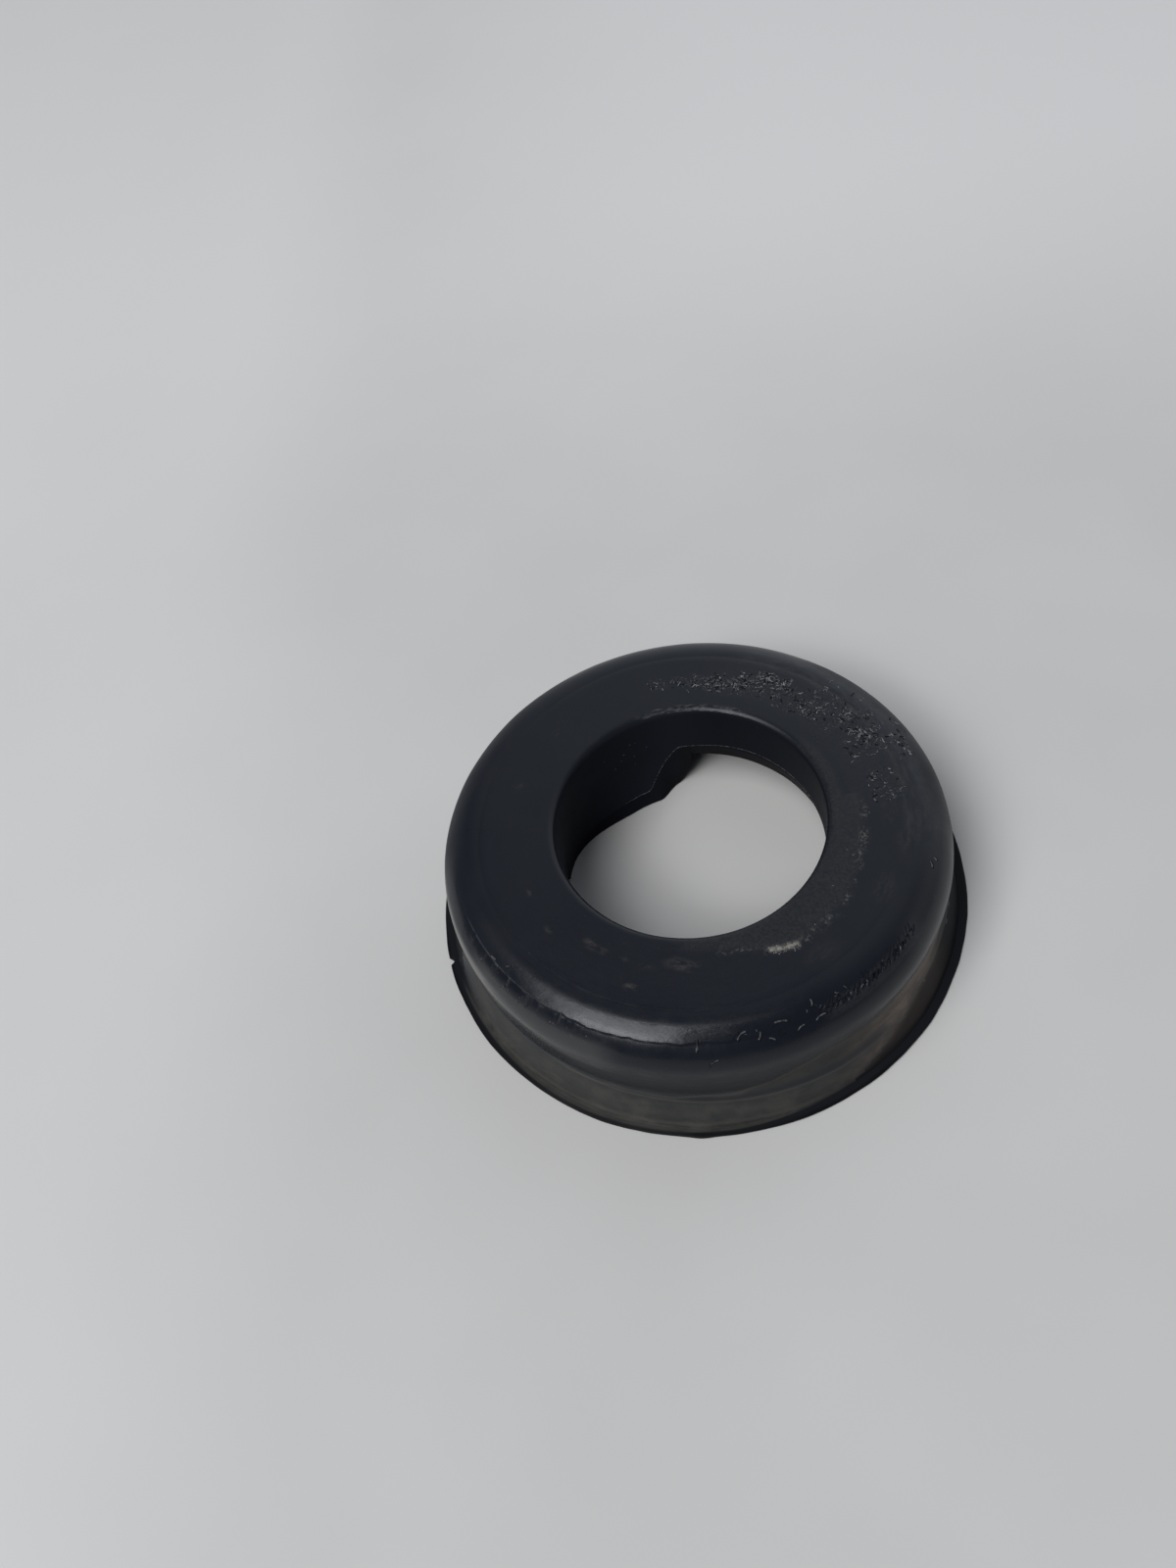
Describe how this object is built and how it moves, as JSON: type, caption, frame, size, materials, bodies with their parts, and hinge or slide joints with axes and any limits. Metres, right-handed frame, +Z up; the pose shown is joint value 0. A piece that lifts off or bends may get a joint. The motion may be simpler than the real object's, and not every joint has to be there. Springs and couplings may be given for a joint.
{
  "type": "coil spring pad",
  "caption": "Round moulded rubber pad for a coil spring's end: flat top ring, flared skirt, centre sleeve and a channel for the coil underneath.",
  "frame": {"origin": "centre of the footprint, on the floor", "axes": "+Z up along the bore axis, from the skirt lip to the flat top ring; the sleeve's short half is centred 5 degrees clockwise of +X"},
  "size_m": [0.125, 0.125, 0.0296],
  "materials": {
    "rubber": "satin"
  },
  "bodies": {
    "root": {"spring_pad": "rubber"}
  },
  "joints": []
}
